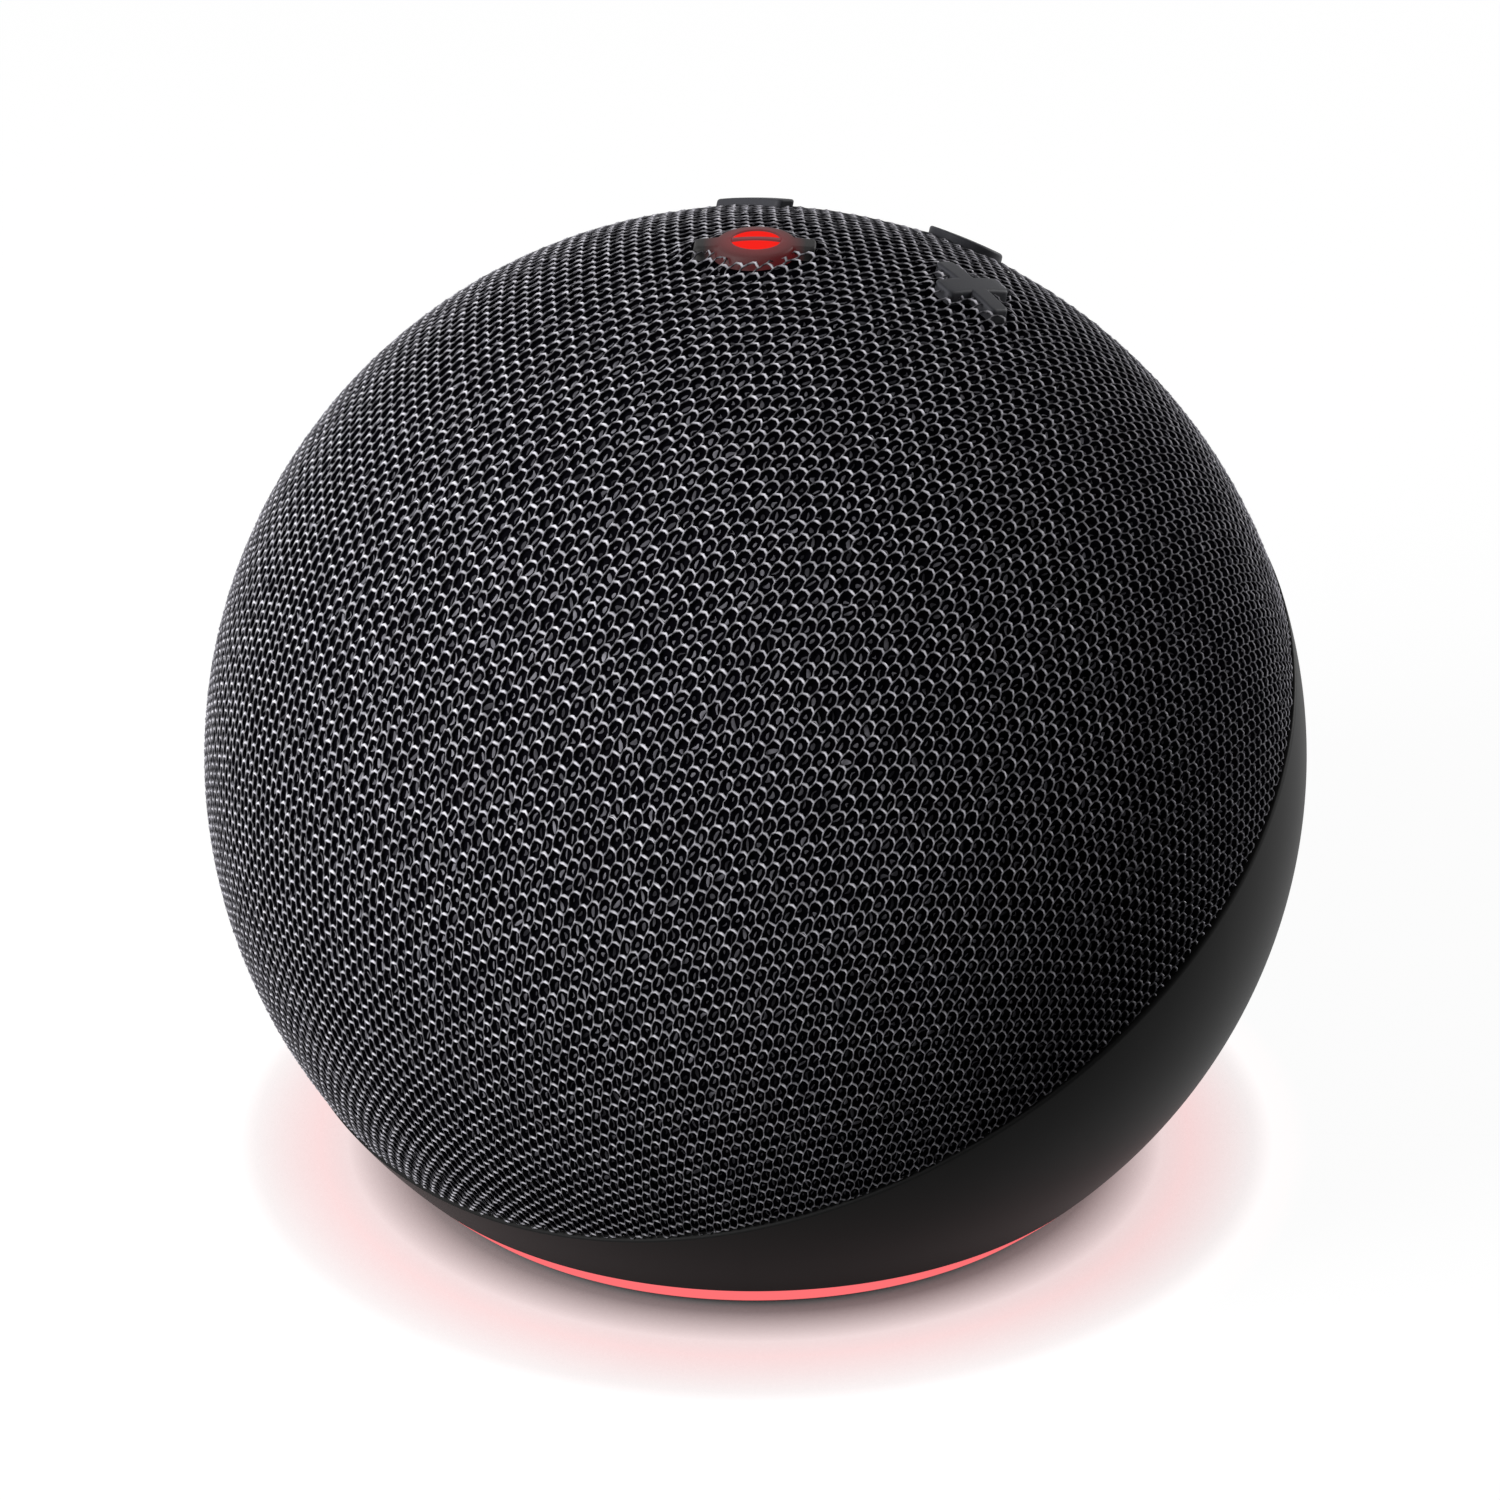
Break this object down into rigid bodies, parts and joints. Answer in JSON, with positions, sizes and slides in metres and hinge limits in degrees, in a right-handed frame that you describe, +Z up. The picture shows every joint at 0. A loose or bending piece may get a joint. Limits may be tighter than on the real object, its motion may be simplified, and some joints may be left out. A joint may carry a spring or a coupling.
{
  "type": "smart speaker",
  "caption": "Ball-shaped smart speaker with a knitted front cover, plastic rear shell, glowing light ring at its foot and raised push keys on top.",
  "frame": {"origin": "on the table, under the centre of the ball", "axes": "+Z up, -Y towards the front that the driver faces, +Y towards the power inlet at the rear"},
  "size_m": [0.1, 0.0997, 0.0895],
  "materials": {
    "knit": "open black knit over the front dome",
    "dome_plastic": "plain dark moulding",
    "shell_plastic": "satin charcoal moulding",
    "base_plastic": "matt charcoal moulding",
    "light_guide": "diffusing guide, lit red",
    "foot_rubber": "matt black rubber",
    "screw_steel": "plated steel",
    "board": "green solder mask",
    "lamp": "white lamp packages",
    "chamber_plastic": "plain black moulding",
    "gasket_foam": "soft black foam",
    "basket_steel": "black painted pressing",
    "magnet": "dark sintered ring",
    "motor_steel": "zinc plated steel",
    "cone_paper": "pressed black paper",
    "surround_rubber": "soft black rubber",
    "spider_cloth": "doped tan cloth",
    "coil_copper": "copper winding on a former",
    "chip_black": "black moulded packages",
    "shield_tin": "tinned steel can",
    "pad_grey": "soft grey pad",
    "spreader_metal": "plain sheet",
    "jack_black": "black moulding",
    "pin_metal": "plated contact pin",
    "flex_film": "amber film",
    "plug_plastic": "ivory moulding",
    "microphone_metal": "gold plated cans",
    "key_plastic": "satin dark grey keys",
    "lens_red": "red lit window",
    "plunger_plastic": "moulded plungers"
  },
  "bodies": {
    "housing": {"fabric_cover": "knit", "front_grille": "dome_plastic", "rear_shell": "shell_plastic", "base_plate": "base_plastic", "light_ring": "light_guide", "rubber_foot": "foot_rubber", "base_screws": "screw_steel", "chamber_screws": "screw_steel", "driver_screws": "screw_steel", "board_screws": "screw_steel", "power_screws": "screw_steel", "top_board_screws": "screw_steel", "led_ring_board": "board", "main_board": "board", "power_board": "board", "top_board": "board", "ring_leds": "lamp", "mute_led": "lamp", "chamber_front": "chamber_plastic", "chamber_rear": "chamber_plastic", "driver_gasket": "gasket_foam", "driver_basket": "basket_steel", "driver_magnet": "magnet", "driver_plate": "motor_steel", "driver_yoke": "motor_steel", "surround": "surround_rubber", "spider": "spider_cloth", "board_chips": "chip_black", "tact_switches": "chip_black", "rf_shield": "shield_tin", "thermal_pad": "pad_grey", "heat_spreader": "spreader_metal", "dc_jack": "jack_black", "jack_pin": "pin_metal", "key_flex": "flex_film", "light_flex": "flex_film", "power_flex": "flex_film", "flex_plugs": "plug_plastic", "microphones": "microphone_metal"},
    "volume_up": {"volume_up_key": "key_plastic", "volume_up_plunger": "plunger_plastic"},
    "volume_down": {"volume_down_key": "key_plastic", "volume_down_plunger": "plunger_plastic"},
    "action": {"action_key": "key_plastic", "action_plunger": "plunger_plastic"},
    "mic_mute": {"mic_mute_key": "key_plastic", "mic_mute_plunger": "plunger_plastic", "mic_mute_lens": "lens_red"},
    "speaker_cone": {"cone": "cone_paper", "dust_cap": "cone_paper", "voice_coil": "coil_copper"}
  },
  "joints": [
    {"name": "volume_up_press", "type": "slide", "parent": "housing", "child": "volume_up", "axis": [0, -0.275, -0.9614], "range_m": [0, 0.0004], "stiffness_N_per_m": 1500, "springref_m": -0.0004},
    {"name": "volume_down_press", "type": "slide", "parent": "housing", "child": "volume_down", "axis": [0, -0.275, -0.9614], "range_m": [0, 0.0004], "stiffness_N_per_m": 1500, "springref_m": -0.0004},
    {"name": "action_press", "type": "slide", "parent": "housing", "child": "action", "axis": [0, -0.275, -0.9614], "range_m": [0, 0.0004], "stiffness_N_per_m": 1500, "springref_m": -0.0004},
    {"name": "mic_mute_press", "type": "slide", "parent": "housing", "child": "mic_mute", "axis": [0, -0.275, -0.9614], "range_m": [0, 0.0004], "stiffness_N_per_m": 1500, "springref_m": -0.0004},
    {"name": "cone_excursion", "type": "slide", "parent": "housing", "child": "speaker_cone", "axis": [0, -0.9397, 0.342], "range_m": [-0.0015, 0.0015], "stiffness_N_per_m": 1000, "deforming": ["surround", "spider"]}
  ]
}
